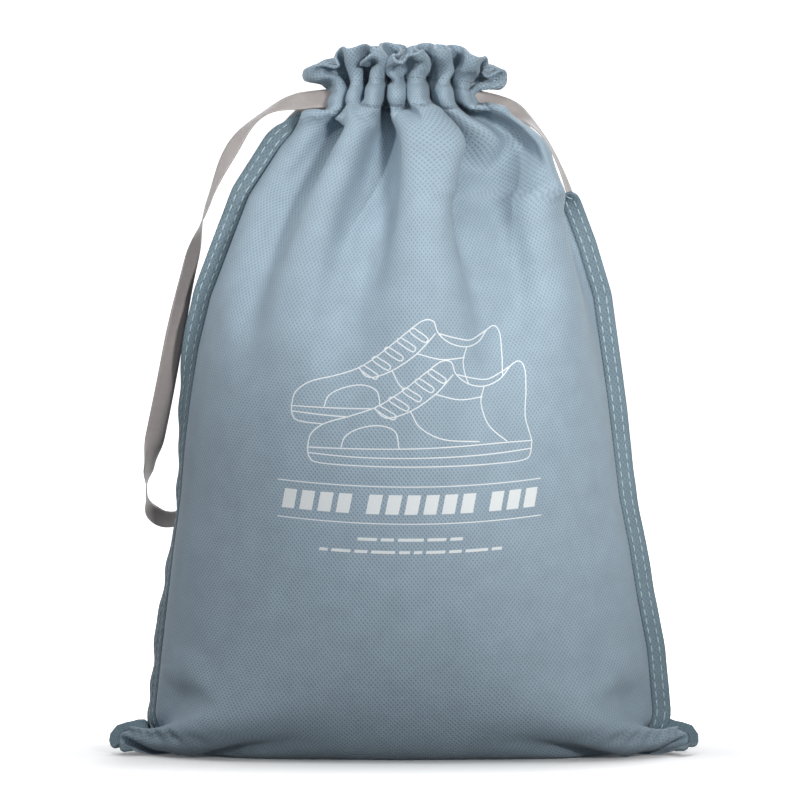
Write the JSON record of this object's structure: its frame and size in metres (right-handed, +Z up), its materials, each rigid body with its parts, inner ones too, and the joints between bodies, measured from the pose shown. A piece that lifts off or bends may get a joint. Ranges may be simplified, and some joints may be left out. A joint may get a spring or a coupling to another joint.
{
  "type": "drawstring shoe bag",
  "caption": "Stuffed non-woven cloth shoe bag with outside side seams, a gathered frilled neck and two flat ribbon loops that draw it shut.",
  "frame": {"origin": "on the floor, under the middle of the bag", "axes": "+Z up, +X to the right of a person facing the printed front, -Y towards that person"},
  "size_m": [0.3, 0.1442, 0.352],
  "materials": {
    "bag_cloth": "embossed matt non-woven cloth",
    "lining_cloth": "embossed matt non-woven cloth",
    "ribbon": "soft satin ribbon",
    "thread": "matt polyester thread"
  },
  "bodies": {
    "bag": {"front_panel": "bag_cloth", "back_panel": "bag_cloth", "left_side_flange": "bag_cloth", "right_side_flange": "bag_cloth", "left_seam_stitching": "thread", "right_seam_stitching": "thread"},
    "mouth_front": {"front_frill": "bag_cloth", "front_hem_facing": "lining_cloth", "front_lower_channel_stitching": "thread", "front_upper_channel_stitching": "thread", "front_left_ribbon_run": "ribbon", "front_right_ribbon_run": "ribbon", "front_left_bartack": "thread", "front_right_bartack": "thread"},
    "mouth_back": {"back_frill": "bag_cloth", "back_hem_facing": "lining_cloth", "back_lower_channel_stitching": "thread", "back_upper_channel_stitching": "thread", "back_left_ribbon_run": "ribbon", "back_right_ribbon_run": "ribbon", "back_left_bartack": "thread", "back_right_bartack": "thread"},
    "left_ribbon": {"left_ribbon_loop": "ribbon"},
    "right_ribbon": {"right_ribbon_loop": "ribbon"}
  },
  "joints": [
    {"name": "mouth_front_open", "type": "slide", "parent": "bag", "child": "mouth_front", "axis": [0, -1, 0], "range_m": [0, 0.02]},
    {"name": "mouth_back_open", "type": "slide", "parent": "bag", "child": "mouth_back", "axis": [0, 1, 0], "range_m": [0, 0.02]},
    {"name": "left_ribbon_pull", "type": "slide", "parent": "bag", "child": "left_ribbon", "axis": [-1, 0, 0], "range_m": [0, 0.012]},
    {"name": "right_ribbon_pull", "type": "slide", "parent": "bag", "child": "right_ribbon", "axis": [1, 0, 0], "range_m": [0, 0.012]}
  ],
  "couplings": [
    {"joint": "mouth_back_open", "follows": "mouth_front_open", "ratio": 1}
  ]
}
